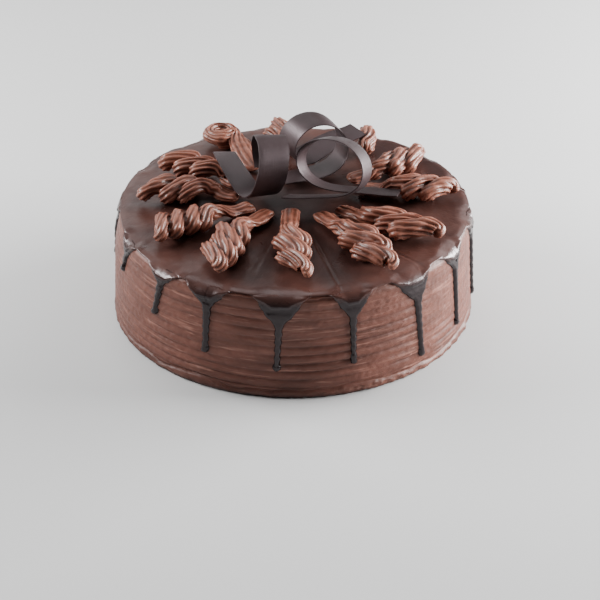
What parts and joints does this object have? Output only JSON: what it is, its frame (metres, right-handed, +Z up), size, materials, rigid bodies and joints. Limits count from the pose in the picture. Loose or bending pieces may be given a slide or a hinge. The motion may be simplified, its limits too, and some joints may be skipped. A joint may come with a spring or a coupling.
{
  "type": "sachertorte cake",
  "caption": "Round chocolate cake with a comb-ridged buttercream side, poured ganache that runs down in drips, piped swirls and loops of dark chocolate ribbon on top",
  "frame": {"origin": "centre of the flat underside of the cake", "axes": "+Z up; -Y towards the viewer of the picture; +X to the viewer's right"},
  "size_m": [0.2495, 0.2499, 0.1263],
  "materials": {
    "chocolate_buttercream": "soft matte buttercream",
    "dark_ganache": "glossy",
    "piped_chocolate_cream": "soft satin cream",
    "dark_chocolate": "satin"
  },
  "bodies": {
    "root": {"frosted_cake": "chocolate_buttercream", "ganache_glaze": "dark_ganache", "piped_swirl_01": "piped_chocolate_cream", "piped_swirl_02": "piped_chocolate_cream", "piped_swirl_03": "piped_chocolate_cream", "piped_swirl_04": "piped_chocolate_cream", "piped_swirl_05": "piped_chocolate_cream", "piped_swirl_06": "piped_chocolate_cream", "piped_swirl_07": "piped_chocolate_cream", "piped_swirl_08": "piped_chocolate_cream", "piped_swirl_09": "piped_chocolate_cream", "piped_swirl_10": "piped_chocolate_cream", "piped_swirl_11": "piped_chocolate_cream", "piped_swirl_12": "piped_chocolate_cream", "chocolate_curl_left": "dark_chocolate", "chocolate_curl_back": "dark_chocolate", "chocolate_curl_right": "dark_chocolate"}
  },
  "joints": []
}
